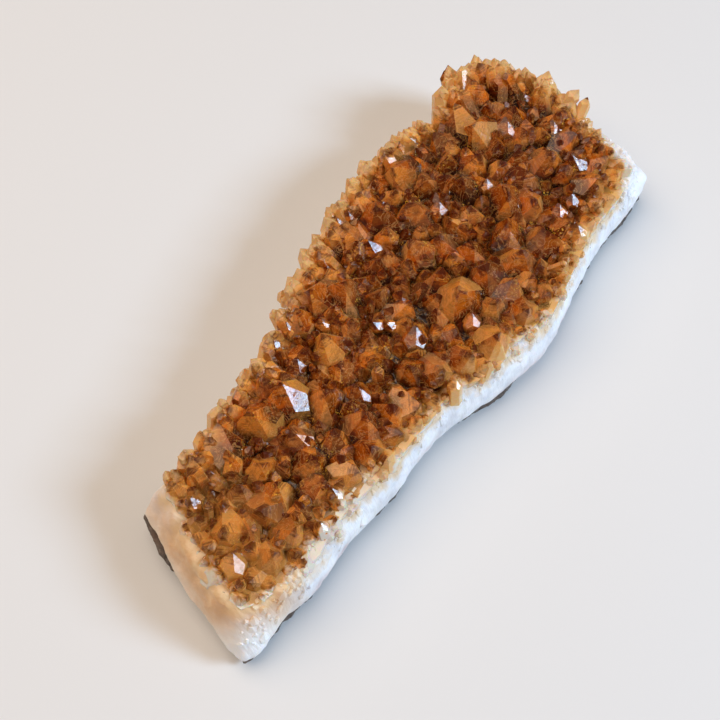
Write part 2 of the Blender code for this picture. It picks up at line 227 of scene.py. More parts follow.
def attribute(tree, name):
    """What the mesh itself says at a point, under a name."""
    node = tree.nodes.new("ShaderNodeAttribute")
    node.attribute_name = name
    return node.outputs["Fac"]


rind = copy_of_node("basalt_rind", "rind")
remesh(rind, RIND_GRAIN)
roughen(rind, "CLOUDS", 5 * MM, 1.4 * MM)
roughen(rind, "VORONOI", 1.6 * MM, 0.7 * MM)
apply_modifiers(rind)
for vertex in rind.data.vertices:
    vertex.co.z = max(vertex.co.z, 0.0)
    if vertex.co.x < WORN_CORNER.x and vertex.co.y > WORN_CORNER.y:
        vertex.co += WEAR
    elif BAY_START < vertex.co.x < BAY_END and vertex.co.y < 0:
        along_bay = (vertex.co.x - BAY_START) / (BAY_END - BAY_START)
        vertex.co.y += WORN_BAY * math.sin(along_bay * math.pi)
rind.data.shade_smooth()

basalt, shader, tree = nodes_of("basalt")
speckle = noise(tree, 900, detail=6, roughness=0.7)
patches = noise(tree, 140)
stone = ramp(
    tree, speckle, (0.3, (0.05, 0.04, 0.036)), (0.55, (0.14, 0.115, 0.10)), (0.75, (0.27, 0.23, 0.20))
)
stained = blend(tree, span(tree, patches, 0.5, 0.75), stone, (0.16, 0.10, 0.07))
wire(tree, stained, shader.inputs["Base Color"])
shader.inputs["Roughness"].default_value = 0.9
wire(tree, bump(tree, noise(tree, 1500, detail=5), 0.25 * MM), shader.inputs["Normal"])
rind.data.materials.clear()
rind.data.materials.append(basalt)
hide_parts("basalt_rind")
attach(rind, "root")

# --- The white quartz ----------------------------------------------------------------------------
# A band of milky quartz that grew on the rind before the clear crystals did. Its long side broke
# smooth, its narrow end is a waxy, cream-coloured break that swells up to the crystals' feet, and
# one far corner is chipped. Small quartz points stand between the breaks and the citrine crystals.

QUARTZ_GRAIN = 0.62 * MM
SEED = 11
FACE_SLOPE = math.radians(51.8)  # quartz's end faces against the base of its prism
POINT_LENGTH = 2.4  # in widths
CRYSTAL_EDGE = 14.0 * MM  # the quartz is higher than this at the crystals' edge, lower in the middle
CREST_HEIGHT = 13.0 * MM  # and what lies under this is its side
CREST_SLOPE = 0.15  # as is what looks up less than this
SUGAR_BAND = 2.6 * MM  # small points grow this far down from the crystals' edge
CRUMBS = 7.0 * MM  # and further at the chip and at the outer corner of the broken end
CRUMBS_SIDE = -14.5 * MM  # that corner has a smaller y than this
SUGAR_DARTS = 14000
SUGAR_FOOT = 9 * MM  # no point stands lower than this
SUGAR_SLOPE = 0.2  # or on what looks up less than this
SUGAR_WIDTH, SUGAR_SPREAD = 1.2, 1.6  # least width and how much more there may be, in mm
SUGAR_CROWDING = 0.3
WAXY_END = -64 * MM  # the broken end is smooth and waxy from here on
SHOULDER = 4.0 * MM  # round the crystals, the quartz swells up between them
SWELL = 6.5 * MM  # and at the broken end it reaches their feet, from this far
SWELL_FOOT = 8 * MM
SWELL_TOP = 17.0 * MM
SWELL_START, SWELL_RUN = WAXY_END + 5 * MM, 7 * MM
CHIP = 94 * MM  # it also swells over the far corner, where x - y is more than this, which is bare
CHIP_RUN = 4 * MM
LOBE = -88 * MM  # the end's outer corner, where x + y is less than this, is a rounded lobe


def quartz_point(name, rng):
    """A crystal 1 m wide with its tip near the origin, pointing up: a six-sided prism that three large
    faces and three small ones cut to a point."""
    bpy.ops.mesh.primitive_cylinder_add(
        vertices=6, radius=1 / math.sqrt(3), depth=POINT_LENGTH, location=(0, 0, -POINT_LENGTH / 2)
    )
    shape = bpy.context.object
    shape.name = name
    bpy.ops.object.transform_apply(location=True)
    bpy.ops.object.mode_set(mode="EDIT")
    bpy.ops.mesh.select_all(action="SELECT")
    bpy.ops.transform.resize(value=(rng.uniform(0.8, 1.12), rng.uniform(0.85, 1.15), 1))
    lesser = rng.choice((0.05, 0.12, 0.3))
    for side in range(6):
        turn = math.radians(30 + 60 * side)
        slope = FACE_SLOPE + rng.uniform(-0.06, 0.06)
        normal = Vector((math.cos(turn), math.sin(turn), 0)) * math.sin(slope)
        normal.z = math.cos(slope)
        raised = rng.uniform(-0.08, 0.05) if side % 2 == 0 else rng.uniform(-0.02, lesser)
        bpy.ops.mesh.select_all(action="SELECT")
        bpy.ops.mesh.bisect(plane_co=(0, 0, raised), plane_no=normal, use_fill=True, clear_outer=True)
    bpy.ops.object.mode_set(mode="OBJECT")
    return shape


def join_all(body, collection):
    """Fuses every piece of a collection to a body, and deletes the collection."""
    union = body.modifiers.new("join", "BOOLEAN")
    union.operation = "UNION"
    union.solver = "MANIFOLD"
    union.operand_type = "COLLECTION"
    union.collection = collection
    apply_modifiers(body)
    for piece in list(collection.objects):
        bpy.data.objects.remove(piece)
    bpy.data.collections.remove(collection)


def new_group(name):
    """An empty collection for pieces that are then fused."""
    group = bpy.data.collections.new(name)
    bpy.context.scene.collection.children.link(group)
    return group


def stand(mesh, place, axis, spin, width, group):
    """Sets a quartz point's mesh with its tip at a place, pointing along an axis."""
    turn = axis.to_track_quat("Z", "Y").to_matrix() @ Matrix.Rotation(spin, 3, "Z")
    mesh.transform(Matrix.Translation(place) @ turn.to_4x4() @ Matrix.Scale(width, 4))
    group.objects.link(bpy.data.objects.new("point", mesh))


def tree_of(spots):
    """A search tree that finds the nearest of some places."""
    tree = KDTree(len(spots))
    for index, spot in enumerate(spots):
        tree.insert(spot, index)
    tree.balance()
    return tree


shape_rng = random.Random(SEED)
shapes = [quartz_point(f"quartz_point_{number}", shape_rng) for number in range(24)]

# The top of the quartz under the crystals, as a sheet, and the outline of the crystals' edge
crest = copy_of_node("white_quartz_base", "crystals")
for face in crest.data.polygons:
    lowest = min(crest.data.vertices[corner].co.z for corner in face.vertices)
    face.select = face.normal.z < CREST_SLOPE or lowest < CREST_HEIGHT
bpy.ops.object.mode_set(mode="EDIT")
bpy.ops.mesh.delete(type="FACE")
bpy.ops.object.mode_set(mode="OBJECT")
edge_spots = [(v.co.x, v.co.y, 0) for v in crest.data.vertices if v.co.z > CRYSTAL_EDGE]
outline = tree_of(edge_spots)

base = copy_of_node("white_quartz_base", "base")
remesh(base, QUARTZ_GRAIN)
soften(base, 16)
apply_modifiers(base)
shoulder = base.vertex_groups.new(name="shoulder")
for vertex in base.data.vertices:
    from_edge = outline.find((vertex.co.x, vertex.co.y, 0))[2]
    if vertex.co.z > CREST_HEIGHT and from_edge < SHOULDER:
        shoulder.add([vertex.index], 1 - from_edge / SHOULDER, "REPLACE")
roughen(base, "CLOUDS", 3.2 * MM, 3.6 * MM, "shoulder")
base.modifiers["CLOUDS"].mid_level = 0.2
apply_modifiers(base)
for vertex in base.data.vertices:
    from_edge = outline.find((vertex.co.x, vertex.co.y, 0))[2]
    if vertex.co.z > SWELL_FOOT and from_edge < SWELL:
        broken = min(max((SWELL_START - vertex.co.x) / SWELL_RUN, 0), 1)
        chip = min(max((vertex.co.x - vertex.co.y - CHIP) / CHIP_RUN, 0), 1)
        falloff = (1 - from_edge / SWELL) ** 1.5
        share = max(broken * falloff, chip * (1 if vertex.co.z > CREST_HEIGHT else falloff))
        vertex.co.z += max(SWELL_TOP - vertex.co.z, 0) * share
lobe = base.vertex_groups.new(name="lobe")
lobe.add([v.index for v in base.data.vertices if v.co.x + v.co.y < LOBE], 1, "REPLACE")
soften(base, 90)
base.modifiers["soften"].vertex_group = "lobe"
apply_modifiers(base)
soften(base, 8)
roughen(base, "CLOUDS", 6 * MM, 0.9 * MM)
roughen(base, "STUCCI", 1.8 * MM, 0.35 * MM)
apply_modifiers(base)

sugar = new_group("sugar")
sugar_rng = random.Random(SEED)
skin = base.data.vertices
seeds = []
for _ in range(SUGAR_DARTS):
    vertex = skin[sugar_rng.randrange(len(skin))]
    from_edge = outline.find((vertex.co.x, vertex.co.y, 0))[2]
    size_draw, spin, tilt_x, tilt_y = (sugar_rng.random() for _ in range(4))
    waxy = vertex.co.x < WAXY_END
    chipped = vertex.co.x - vertex.co.y > CHIP
    outer = from_edge / (CRUMBS if waxy or chipped else SUGAR_BAND)
    too_low = vertex.normal.z < SUGAR_SLOPE or vertex.co.z < SUGAR_FOOT
    if too_low or outer > 1 or (waxy and vertex.co.y > CRUMBS_SIDE):
        continue
    width = (SUGAR_WIDTH + SUGAR_SPREAD * size_draw) * MM
    if any((vertex.co - place).length < SUGAR_CROWDING * (width + other) for place, other in seeds):
        continue
    seeds.append((vertex.co.copy(), width))
    axis = (vertex.normal + Vector((tilt_x - 0.5, tilt_y - 0.5, 0.6)) * 1.4).normalized()
    mesh = shape_rng.choice(shapes).data.copy()
    stand(mesh, vertex.co + axis * (0.5 - 0.35 * outer) * width, axis, spin * math.tau, width, sugar)
join_all(base, sugar)
select_only(base)
bpy.ops.object.shade_smooth_by_angle(angle=math.radians(28))

# --- The citrine crystals --------------------------------------------------------------------------
# The crust on the quartz: pointed six-sided crystals that have grown into one another and stand in
# one bed. Near the quartz they are pale and their tips are red-brown. Between them, shade is painted
# dark; each face is painted lighter or darker at random as light and shade, and painted glints stand
# for light reflected inside. They lean outwards at the crust's edge, and hang over it on one long side
# and at the far end.

SPINE_ENDS = (-56 * MM, 60 * MM)  # ends of the slab's middle line, in x
BED_THICKNESS = 2.0 * MM
BED_TOP = 16.2 * MM
FOOT = 14.1 * MM  # every crystal ends at this height, inside the bed
CONTACT = 0.35 * MM  # how deep the crust sits in the quartz
FACE_GRAIN = 1.3 * MM
RIM = 0.5 * MM  # the crystals' edge counts as this near to bare quartz
OVERLAP = 1.24  # each crystal is this much wider than its share of the plan
BED_FROM_TIP = 9.0  # the bed gets the painted shade of a crystal this far below its tip, in mm
BEYOND = 5 * MM  # nothing of the crust reaches further than this past its edge
TIPS_AROUND = 5  # a part of the crust lies as deep as it is under this many tips around it
BRIGHT_WAY = Vector((-0.058, -0.581, 0.812))  # where the brightest faces look
BRIGHT_FAN = -0.0016  # that direction's change in x with each mm along the slab
DULL_ANGLE = math.radians(11)  # faces of the other crystals look at least this far away from it

# Large crystals: where the tip is, and the width, in mm
LARGE_CRYSTALS = [
    (-76.2, -12.4, 6.7), (-74.8, -4.6, 7.5), (-67.4, -0.7, 9.2), (-71.0, 5.4, 6.7), (-70.4, -15.6, 6.7),
    (-64.3, -12.2, 9.2), (-63.6, 17.0, 6.5), (-58.8, -4.9, 8.8), (-56.9, 11.2, 7.7), (-56.2, 3.3, 7.9),
    (-61.6, 4.0, 6.7), (-54.8, 18.2, 6.7), (-50.6, -3.6, 8.6), (-49.4, 1.8, 7.3), (-47.2, 16.4, 6.9),
    (-41.9, -7.2, 10.4), (-42.2, 11.4, 7.3), (-40.2, 5.0, 7.9), (-38.6, -16.8, 7.5), (-38.0, -1.8, 8.1),
    (-39.4, 20.2, 6.9), (-33.4, -6.4, 8.8), (-32.2, -15.4, 7.7), (-32.4, 14.4, 7.7), (-31.2, 21.4, 6.5),
    (-26.8, 0.4, 7.9), (-26.9, -10.4, 9.2), (-25.0, -19.0, 7.3), (-24.6, 16.4, 7.3), (-23.2, 21.8, 6.7),
    (-20.4, -13.6, 8.6), (-19.0, 3.0, 7.7), (-16.7, -18.6, 7.7), (-15.2, 9.6, 7.9), (-13.0, 24.2, 6.7),
    (-13.4, -3.2, 8.6), (-11.0, -11.6, 9.2), (-7.2, 19.4, 7.5), (-7.6, -18.6, 7.7), (-7.2, 6.6, 7.9),
    (-3.2, 26.6, 6.9), (-1.0, 13.4, 9.4), (0.4, -21.8, 7.3), (2.6, 5.6, 8.3), (1.6, 20.6, 6.9),
    (4.6, -15.6, 8.1), (4.8, -3.0, 8.8), (5.4, 28.2, 6.9), (8.2, 19.0, 7.7), (7.9, -24.6, 8.6),
    (11.0, 10.2, 7.7), (12.0, -11.4, 8.4), (10.6, 3.2, 7.9), (14.0, 24.6, 7.3), (16.2, -18.6, 8.1),
    (17.4, -3.4, 8.8), (17.0, 30.4, 6.9), (18.6, -26.8, 7.7), (18.8, 8.0, 8.1), (22.6, -11.8, 9.4),
    (22.4, 19.4, 8.1), (24.4, -20.2, 7.5), (25.2, 2.6, 8.8), (25.4, 27.4, 8.3), (26.6, -28.0, 6.7),
    (28.8, -4.8, 8.6), (29.2, 14.0, 8.3), (30.8, 32.2, 7.1), (31.4, -17.4, 7.9), (34.6, -25.8, 7.3),
    (34.6, 23.2, 8.3), (36.6, -10.2, 8.8), (37.6, 0.4, 8.3), (39.6, 31.0, 7.3), (38.6, 15.2, 8.3),
    (40.6, -18.8, 7.9), (42.4, 7.0, 7.9), (44.6, -5.2, 8.3), (43.6, 22.8, 7.9), (43.8, -25.6, 6.9),
    (46.8, -13.0, 7.9), (48.6, 29.2, 7.1), (48.0, 14.2, 8.6), (52.8, 7.4, 8.3), (53.2, 21.4, 8.1),
    (54.2, -6.2, 8.8), (57.4, 27.6, 7.1), (56.4, -23.6, 7.5), (59.0, 14.0, 8.4), (60.6, 0.2, 8.4),
    (62.6, -8.2, 8.1), (63.2, 21.6, 8.1), (64.2, -22.6, 7.5), (67.4, 27.8, 6.9), (69.6, -2.6, 8.3),
    (69.4, 14.8, 8.1), (72.4, -20.2, 6.7), (73.8, -9.6, 7.9), (73.6, 22.4, 7.7), (75.8, 29.2, 6.7),
    (80.6, -10.0, 6.7), (82.4, 27.6, 6.7), (84.4, 12.6, 7.5), (84.6, -2.2, 6.9), (86.6, 20.6, 6.9),
    (88.4, 6.0, 6.9),
]  # fmt: skip
# Crystals with a face that catches the light: the middle of that face, the width, and how matt it is
BRIGHT_CRYSTALS = [
    (76.6, 18.9, 4.4, 0.0), (73.8, -4.6, 4.6, 0.1), (78.8, 7.1, 4.8, 0.7), (66.8, 5.7, 5.2, 0.8),
    (14.6, 14.4, 4.4, 0.2), (66.8, -15.6, 5.6, 0.0), (50.4, -19.2, 4.2, 0.0), (55.3, -19.7, 3.4, 0.1),
    (47.9, -26.3, 4.6, 0.0), (47.1, 0.5, 3.4, 0.3), (-2.1, -9.5, 5.6, 0.1), (-4.1, 0.8, 3.2, 0.1),
    (-2.5, -1.6, 2.8, 0.0), (-21.6, -7.0, 5.2, 0.1), (-31.9, 4.6, 8.8, 0.0), (-23.6, 9.6, 4.6, 0.6),
    (-11.0, 11.6, 3.0, 0.0), (-16.3, 18.4, 3.2, 0.0), (-38.4, -2.6, 6.2, 0.9), (-7.7, -23.4, 2.8, 0.0),
    (-49.0, 7.9, 2.8, 0.0), (-45.3, -15.7, 3.8, 0.0), (-53.4, -17.7, 3.0, 0.1), (-64.5, 9.0, 3.4, 0.1),
    (-70.6, -7.4, 5.0, 0.8), (9.8, -17.7, 4.2, 0.7), (34.0, 6.6, 4.2, 0.6), (16.0, 26.0, 2.8, 0.2),
]  # fmt: skip
# Smaller crystals fill what is left, in rounds of falling width: widest, narrowest, darts, crowding
FILLING_ROUNDS = [(6.2, 4.8, 4000, 0.34), (4.8, 3.4, 7000, 0.31), (3.4, 2.0, 14000, 0.32)]
LARGE_SHARE = 1.04  # the large crystals fill this much of their width
FILLING_INSET = 0.1  # a smaller one stands this share of its width inside the edge
LEAST_TALL, MOST_TALL = 0.42, 0.88  # height of a crystal over the bed, in widths
SIDE_SHOOTS = 260  # small crystals that stick out between the others
FRINGE_SHOOTS = 760  # and small ones that crowd along the crystals' edge
PROUD_SHOOTS = 520  # taller ones that hang over it, planted inside it, along its boldest stretches
PROUD_STRETCHES = ((-7 * MM, 57 * MM), (66 * MM, 90 * MM))  # of x
PROUD_FOOT = 1.6 * MM  # how far inside the edge they stand
FAR_END = 66 * MM  # from this x on they are larger
FAR_GROWTH = 1.3
MOST_Y, MOST_X = 34.0 * MM, 91.0 * MM  # no tip lies further out than this
HIGH_RIM = Vector((0.75, 0.66, 0))  # towards this side, the crystals stay tall up to their edge


sheet = BVHTree.FromPolygons(
    [vertex.co for vertex in crest.data.vertices], [face.vertices for face in crest.data.polygons]
)


def depth_inside(x, y):
    """How far a point of the plan lies within the crystals' edge, in metres; below 0 outside it."""
    distance = outline.find((x, y, 0))[2]
    under = sheet.ray_cast(Vector((x, y, 0.1)), Vector((0, 0, -1)))[0]
    return distance if under else -distance


def outwards(x, y):
    """The way from the slab's middle line to a point of the plan."""
    along = min(max(x, SPINE_ENDS[0]), SPINE_ENDS[1])
    return Vector((x - along, y, 0)).normalized()


def rim_height(x, y):
    """How tall the crystals stand at their edge, as a share of their height further in."""
    return 0.5 + 0.5 * max(0, outwards(x, y).dot(HIGH_RIM))


def leaning_axis(x, y, unrest, rng):
    """The way a crystal points: up, fanned outwards near the edge, and somewhat at random."""
    lean = math.radians(min(max(34 - 3.4 * depth_inside(x, y) / MM, 3), 48))
    axis = outwards(x, y) * math.sin(lean) + Vector((0, 0, math.cos(lean)))
    axis += Vector((rng.gauss(0, unrest), rng.gauss(0, unrest), 0))
    axis.z = max(axis.z, 0.35)
    return axis.normalized()


def bright_way(x):
    return (BRIGHT_WAY + Vector((BRIGHT_FAN * x / MM, 0, 0))).normalized()


def dull_turn(shape, axis, x, rng):
    """A turn round its axis for which no end face of a crystal looks the bright way."""
    upright = axis.to_track_quat("Z", "Y").to_matrix()
    for _ in range(12):
        turn = upright @ Matrix.Rotation(rng.uniform(0, math.tau), 3, "Z")
        aims = (turn @ face.normal for face in shape.data.polygons)
        if all(aim.dot(bright_way(x)) < math.cos(DULL_ANGLE) for aim in aims):
            break
    return turn


def bright_turn(shape, x, rng):
    """A turn for which one of the crystal's end faces, three- or four-sided where it has one, looks the
    bright way and its axis is upright."""
    ends = [face for face in shape.data.polygons if 0.3 < face.normal.z < 0.9 and face.area > 0.12]
    chosen = min(ends, key=lambda face: (len(face.vertices), -face.area))
    onto = chosen.normal.rotation_difference(bright_way(x)).to_matrix()
    best = max(
        (Matrix.Rotation(math.radians(step), 3, bright_way(x)) @ onto for step in range(0, 360, 5)),
        key=lambda turn: (turn @ Vector((0, 0, 1))).z,
    )
    return Matrix.Rotation(rng.uniform(-0.5, 0.5), 3, bright_way(x)) @ best, chosen


def plant(index, shape, x, y, height, width, turn, matt=None):
    """One crystal with its tip at a place and its foot in the bed, and what its material reads: how far
    below the tip each corner is, how dull its faces are, and how much painted light and shade each face
    gets."""
    rng = random.Random(SEED * 1000 + index)
    mesh = shape.data.copy()
    axis = turn @ Vector((0, 0, 1))
    for vertex in mesh.vertices:
        if vertex.co.z < 0.01 - POINT_LENGTH:
            vertex.co.z = (FOOT - height) / axis.z / width
    from_tip = mesh.attributes.new("from_tip", "FLOAT", "CORNER")
    for loop in mesh.loops:
        from_tip.data[loop.index].value = -mesh.vertices[loop.vertex_index].co.z * width / MM
    tone = mesh.attributes.new("tone", "FLOAT", "FACE")
    lustre = mesh.attributes.new("lustre", "FLOAT", "FACE")
    # painted light and shade on the faces: a share per crystal and a share per face, at random
    shade = rng.random()
    tips.append(Vector((x, y, height)))
    for face in mesh.polygons:
        tone.data[face.index].value = 0.45 * shade + 0.55 * rng.random()
        lustre.data[face.index].value = rng.random() if matt is None else matt
    mesh.transform(Matrix.Translation((x, y, height)) @ turn.to_4x4() @ Matrix.Scale(width, 4))
    points.objects.link(bpy.data.objects.new("point", mesh))


bare_quartz = tree_of(
    [v.co.copy() for v in base.data.vertices if v.co.z > 6 * MM and depth_inside(v.co.x, v.co.y) < 0]
)

places = [(x * MM, y * MM, LARGE_SHARE * width * MM) for x, y, width in LARGE_CRYSTALS]
taken = places + [(x * MM, y * MM, width * MM) for x, y, width, _ in BRIGHT_CRYSTALS]
dart_rng = random.Random(SEED)
plan_low, plan_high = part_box("citrine_crystals")
for widest, narrowest, darts, crowding in FILLING_ROUNDS:
    for _ in range(darts):
        x = dart_rng.uniform(plan_low[0], plan_high[0])
        y = dart_rng.uniform(plan_low[1], plan_high[1])
        width = dart_rng.uniform(narrowest, widest) * MM
        if depth_inside(x, y) < FILLING_INSET * width:
            continue
        if all(math.hypot(x - a, y - b) > crowding * (width + w) for a, b, w in taken):
            places.append((x, y, width))
            taken.append((x, y, width))

points = new_group("crystal points")
tips = []

# The main crystals, smaller and shorter towards the edge
for index, (x, y, width) in enumerate(places):
    rng = random.Random(SEED * 2000 + index)
    inset = depth_inside(x, y) / MM
    width *= min(1, 0.25 + 0.6 * rim_height(x, y) + 0.10 * max(inset, 0)) * rng.uniform(0.88, 1.16)
    axis = leaning_axis(x, y, 0.17, rng)
    stature = rng.uniform(LEAST_TALL, MOST_TALL)
    near_rim = min(1, rim_height(x, y) + 0.12 * inset)
    height = BED_TOP + width * stature * near_rim + 0.2 * MM
    width *= OVERLAP
    shape = rng.choice(shapes)
    plant(index, shape, x, y, height, width, dull_turn(shape, axis, x, rng))

# Those with a bright face, taller than their neighbours so that the face is free
for index, (x, y, width, matt) in enumerate(BRIGHT_CRYSTALS):
    rng = random.Random(SEED * 3000 + index)
    shape = rng.choice(shapes)
    x, y, width = x * MM, y * MM, 1.15 * width * MM
    turn, face = bright_turn(shape, x, rng)
    tip = Vector((x, y, 0)) - turn @ face.center * width
    height = BED_TOP + max(0.8 * width, 4.2 * MM)
    plant(1000 + index, shape, tip.x, tip.y, height, width, turn, matt)

# Small ones between them
for index in range(SIDE_SHOOTS):
    rng = random.Random(SEED * 4000 + index)
    x, y, _ = rng.choice(places)
    x, y = x + rng.uniform(-4, 4) * MM, y + rng.uniform(-4, 4) * MM
    width = rng.uniform(1.4, 2.8) * MM
    if depth_inside(x, y) < 0:
        continue
    axis = leaning_axis(x, y, 0.45, rng)
    height = BED_TOP + rng.uniform(1.0, 4.8) * MM
    shape = rng.choice(shapes)
    plant(2000 + index, shape, x, y, height, width, dull_turn(shape, axis, x, rng))

# Small ones along the edge, larger where the crust stays tall; the waxy end has none
for index in range(FRINGE_SHOOTS):
    rng = random.Random(SEED * 5000 + index)
    x, y, _ = rng.choice(edge_spots)
    rim = rim_height(x, y)
    lift = 2 * rim - 1
    out = rng.uniform(-2.0, 1.2 + 0.9 * lift) * MM
    astray = Vector((rng.gauss(0, 0.5 + 0.5 * lift), rng.gauss(0, 0.5 + 0.5 * lift), 0)) * MM
    x, y = (Vector((x, y, 0)) + outwards(x, y) * out + astray).xy
    if x < WAXY_END:
        continue
    width = rng.uniform(1.2 + 1.2 * lift, 2.2 + 3.0 * lift) * MM
    axis = outwards(x, y) * rng.uniform(0.2, 0.8) + Vector((rng.gauss(0, 0.25), rng.gauss(0, 0.25), 0.8))
    shape = rng.choice(shapes)
    turn = axis.to_track_quat("Z", "Y").to_matrix() @ Matrix.Rotation(rng.uniform(0, math.tau), 3, "Z")
    height = FOOT + rng.uniform(0.8 + 3.4 * lift, 2.8 + 7.6 * lift) * MM
    plant(3000 + index, shape, x, y, height, width, turn)

# And those that hang over the edge
for index in range(PROUD_SHOOTS):
    rng = random.Random(SEED * 6000 + index)
    x, y, _ = rng.choice(edge_spots)
    way = outwards(x, y)
    along_edge = way.cross(Vector((0, 0, 1)))
    x, y = (Vector((x, y, 0)) + along_edge * rng.uniform(-3.4, 3.4) * MM).xy
    reach = rng.uniform(0.6, 3.8) * MM
    rise = rng.uniform(3.6, 6.6) * MM
    if x > FAR_END:
        reach, rise = reach * FAR_GROWTH, rise * FAR_GROWTH
    astray = rng.gauss(0, 0.2)
    width = rng.uniform(2.8, 5.2) * MM
    spin = rng.uniform(0, math.tau)
    shape = rng.choice(shapes)
    if way.dot(HIGH_RIM) < 0.45 or not any(low < x < high for low, high in PROUD_STRETCHES):
        continue
    tip = Vector((x, y, 0)) + way * reach
    if tip.y > MOST_Y or tip.x > MOST_X:
        continue
    axis = way * (reach + PROUD_FOOT) + along_edge * astray * rise + Vector((0, 0, rise))
    turn = axis.normalized().to_track_quat("Z", "Y").to_matrix() @ Matrix.Rotation(spin, 3, "Z")
    plant(4000 + index, shape, tip.x, tip.y, FOOT + rise, width, turn)

for shape in shapes:
    bpy.data.objects.remove(shape)

# The bed is the sheet of the quartz's top, thickened both ways
select_only(crest)
bpy.ops.object.mode_set(mode="EDIT")
bpy.ops.mesh.select_all(action="SELECT")
bpy.ops.transform.translate(value=(0, 0, -BED_THICKNESS / 2))
bpy.ops.mesh.extrude_region_move(TRANSFORM_OT_translate={"value": (0, 0, BED_THICKNESS)})
bpy.ops.object.mode_set(mode="OBJECT")
for vertex in crest.data.vertices:
    if vertex.select:
        vertex.co.z = max(vertex.co.z, BED_TOP)
bpy.ops.object.mode_set(mode="EDIT")
bpy.ops.mesh.select_all(action="SELECT")
bpy.ops.mesh.normals_make_consistent(inside=False)
bpy.ops.object.mode_set(mode="OBJECT")
for name, domain in (("from_tip", "CORNER"), ("tone", "FACE"), ("lustre", "FACE")):
    crest.data.attributes.new(name, "FLOAT", domain)
# The bed counts as far below a tip, so it gets the painted shade
for value in crest.data.attributes["from_tip"].data:
    value.value = BED_FROM_TIP
join_all(crest, points)

sunk_quartz = copy_of_node("white_quartz_base", "sunk quartz")
sunk_quartz.data.transform(Matrix.Translation((0, 0, -CONTACT)))
cut = crest.modifiers.new("sit in quartz", "BOOLEAN")
cut.operation = "DIFFERENCE"
cut.solver = "MANIFOLD"
cut.object = sunk_quartz
apply_modifiers(crest)
bpy.data.objects.remove(sunk_quartz)

# Crystal faces are never quite flat: they are split finer, and then moved a little
for _ in range(3):
    bpy.context.tool_settings.mesh_select_mode = (False, True, False)
    bpy.ops.object.mode_set(mode="EDIT")
    bpy.ops.mesh.select_all(action="SELECT")
    bpy.ops.mesh.quads_convert_to_tris()
    bpy.ops.mesh.select_all(action="DESELECT")
    bpy.ops.object.mode_set(mode="OBJECT")
    for edge in crest.data.edges:
        start, end = (crest.data.vertices[corner].co for corner in edge.vertices)
        edge.select = (start - end).length > FACE_GRAIN and max(start.z, end.z) > FOOT
    bpy.ops.object.mode_set(mode="EDIT")
    bpy.ops.mesh.subdivide()
    bpy.ops.object.mode_set(mode="OBJECT")
bpy.context.tool_settings.mesh_select_mode = (False, False, True)
roughen(crest, "CLOUDS", 1.3 * MM, 0.15 * MM)
apply_modifiers(crest)

# How far, in mm, each part of the quartz is from the crust, and each part of the crust from bare
# quartz and from the crystals' edge
crust_spots = tree_of([vertex.co for vertex in crest.data.vertices])
to_crystals = base.data.attributes.new("to_crystals", "FLOAT", "POINT")
for vertex in base.data.vertices:
    to_crystals.data[vertex.index].value = crust_spots.find(vertex.co)[2] / MM
to_quartz = crest.data.attributes.new("to_quartz", "FLOAT", "POINT")
to_rim = crest.data.attributes.new("to_rim", "FLOAT", "POINT")
for vertex in crest.data.vertices:
    in_plan = Vector((vertex.co.x, vertex.co.y, 0))
    spot, _, from_edge = outline.find(in_plan)
    beyond = (in_plan - spot).dot(outwards(in_plan.x, in_plan.y)) > 0 and from_edge < BEYOND
    inset = -from_edge if beyond else from_edge
    to_quartz.data[vertex.index].value = bare_quartz.find(vertex.co)[2] / MM
    to_rim.data[vertex.index].value = (inset + RIM) / MM
# and how far, in mm, each part of the crust lies below the tips around it, which sets the painted shade
# between the crystals
tips_in_plan = tree_of([(tip.x, tip.y, 0) for tip in tips])
sunk = crest.data.attributes.new("sunk", "FLOAT", "POINT")
for vertex in crest.data.vertices:
    around = tips_in_plan.find_n((vertex.co.x, vertex.co.y, 0), TIPS_AROUND)
    tips_height = sum(tips[index].z for _, index, _ in around) / TIPS_AROUND
    sunk.data[vertex.index].value = (tips_height - vertex.co.z) / MM


def thin_veins(tree, pattern, breadth, share):
    """A share along the winding lines where a noise crosses its middle, and none beside them."""
    from_middle = reckon(tree, "ABSOLUTE", reckon(tree, "SUBTRACT", pattern, 0.5))
    return span(tree, from_middle, 0.0, breadth, share, 0.0)


def growth_lines(tree, along, scale):
    """Uneven lines across a crystal, from a noise that runs along it and starts anew on each one."""
    pattern = tree.nodes.new("ShaderNodeTexNoise")
    pattern.noise_dimensions = "1D"
    pattern.inputs["Scale"].default_value = scale
    pattern.inputs["Detail"].default_value = 3
    wire(tree, along, pattern.inputs["W"])
    return pattern.outputs["Fac"]


citrine, shader, tree = nodes_of("citrine")
below_tip = attribute(tree, "from_tip")
tone = attribute(tree, "tone")
lustre = attribute(tree, "lustre")
clouds = noise(tree, 380, detail=5, roughness=0.6, distortion=0.4)
own_length = reckon(tree, "ADD", below_tip, reckon(tree, "MULTIPLY", tone, 90.0))
lines = growth_lines(tree, own_length, 2.2)
depth = reckon(tree, "ADD", below_tip, span(tree, clouds, 0.3, 0.7, -1.2, 1.2))
depth = reckon(tree, "ADD", depth, span(tree, lines, 0.25, 0.75, -0.7, 0.7))
# Colour along the depth below each tip: red-brown zoning at the tip, brightest orange a few mm down,
# then painted shade, nearly black, low down between the crystals and on the bed
zoned_and_shaded = ramp(
    tree,
    span(tree, depth, -1, 8),
    (0.0, (0.26, 0.050, 0.004)),
    (0.13, (0.11, 0.019, 0.002)),
    (0.24, (0.46, 0.085, 0.004)),
    (0.36, (0.96, 0.27, 0.016)),
    (0.50, (0.76, 0.17, 0.005)),
    (0.66, (0.32, 0.052, 0.002)),
    (0.85, (0.05, 0.010, 0.001)),
)
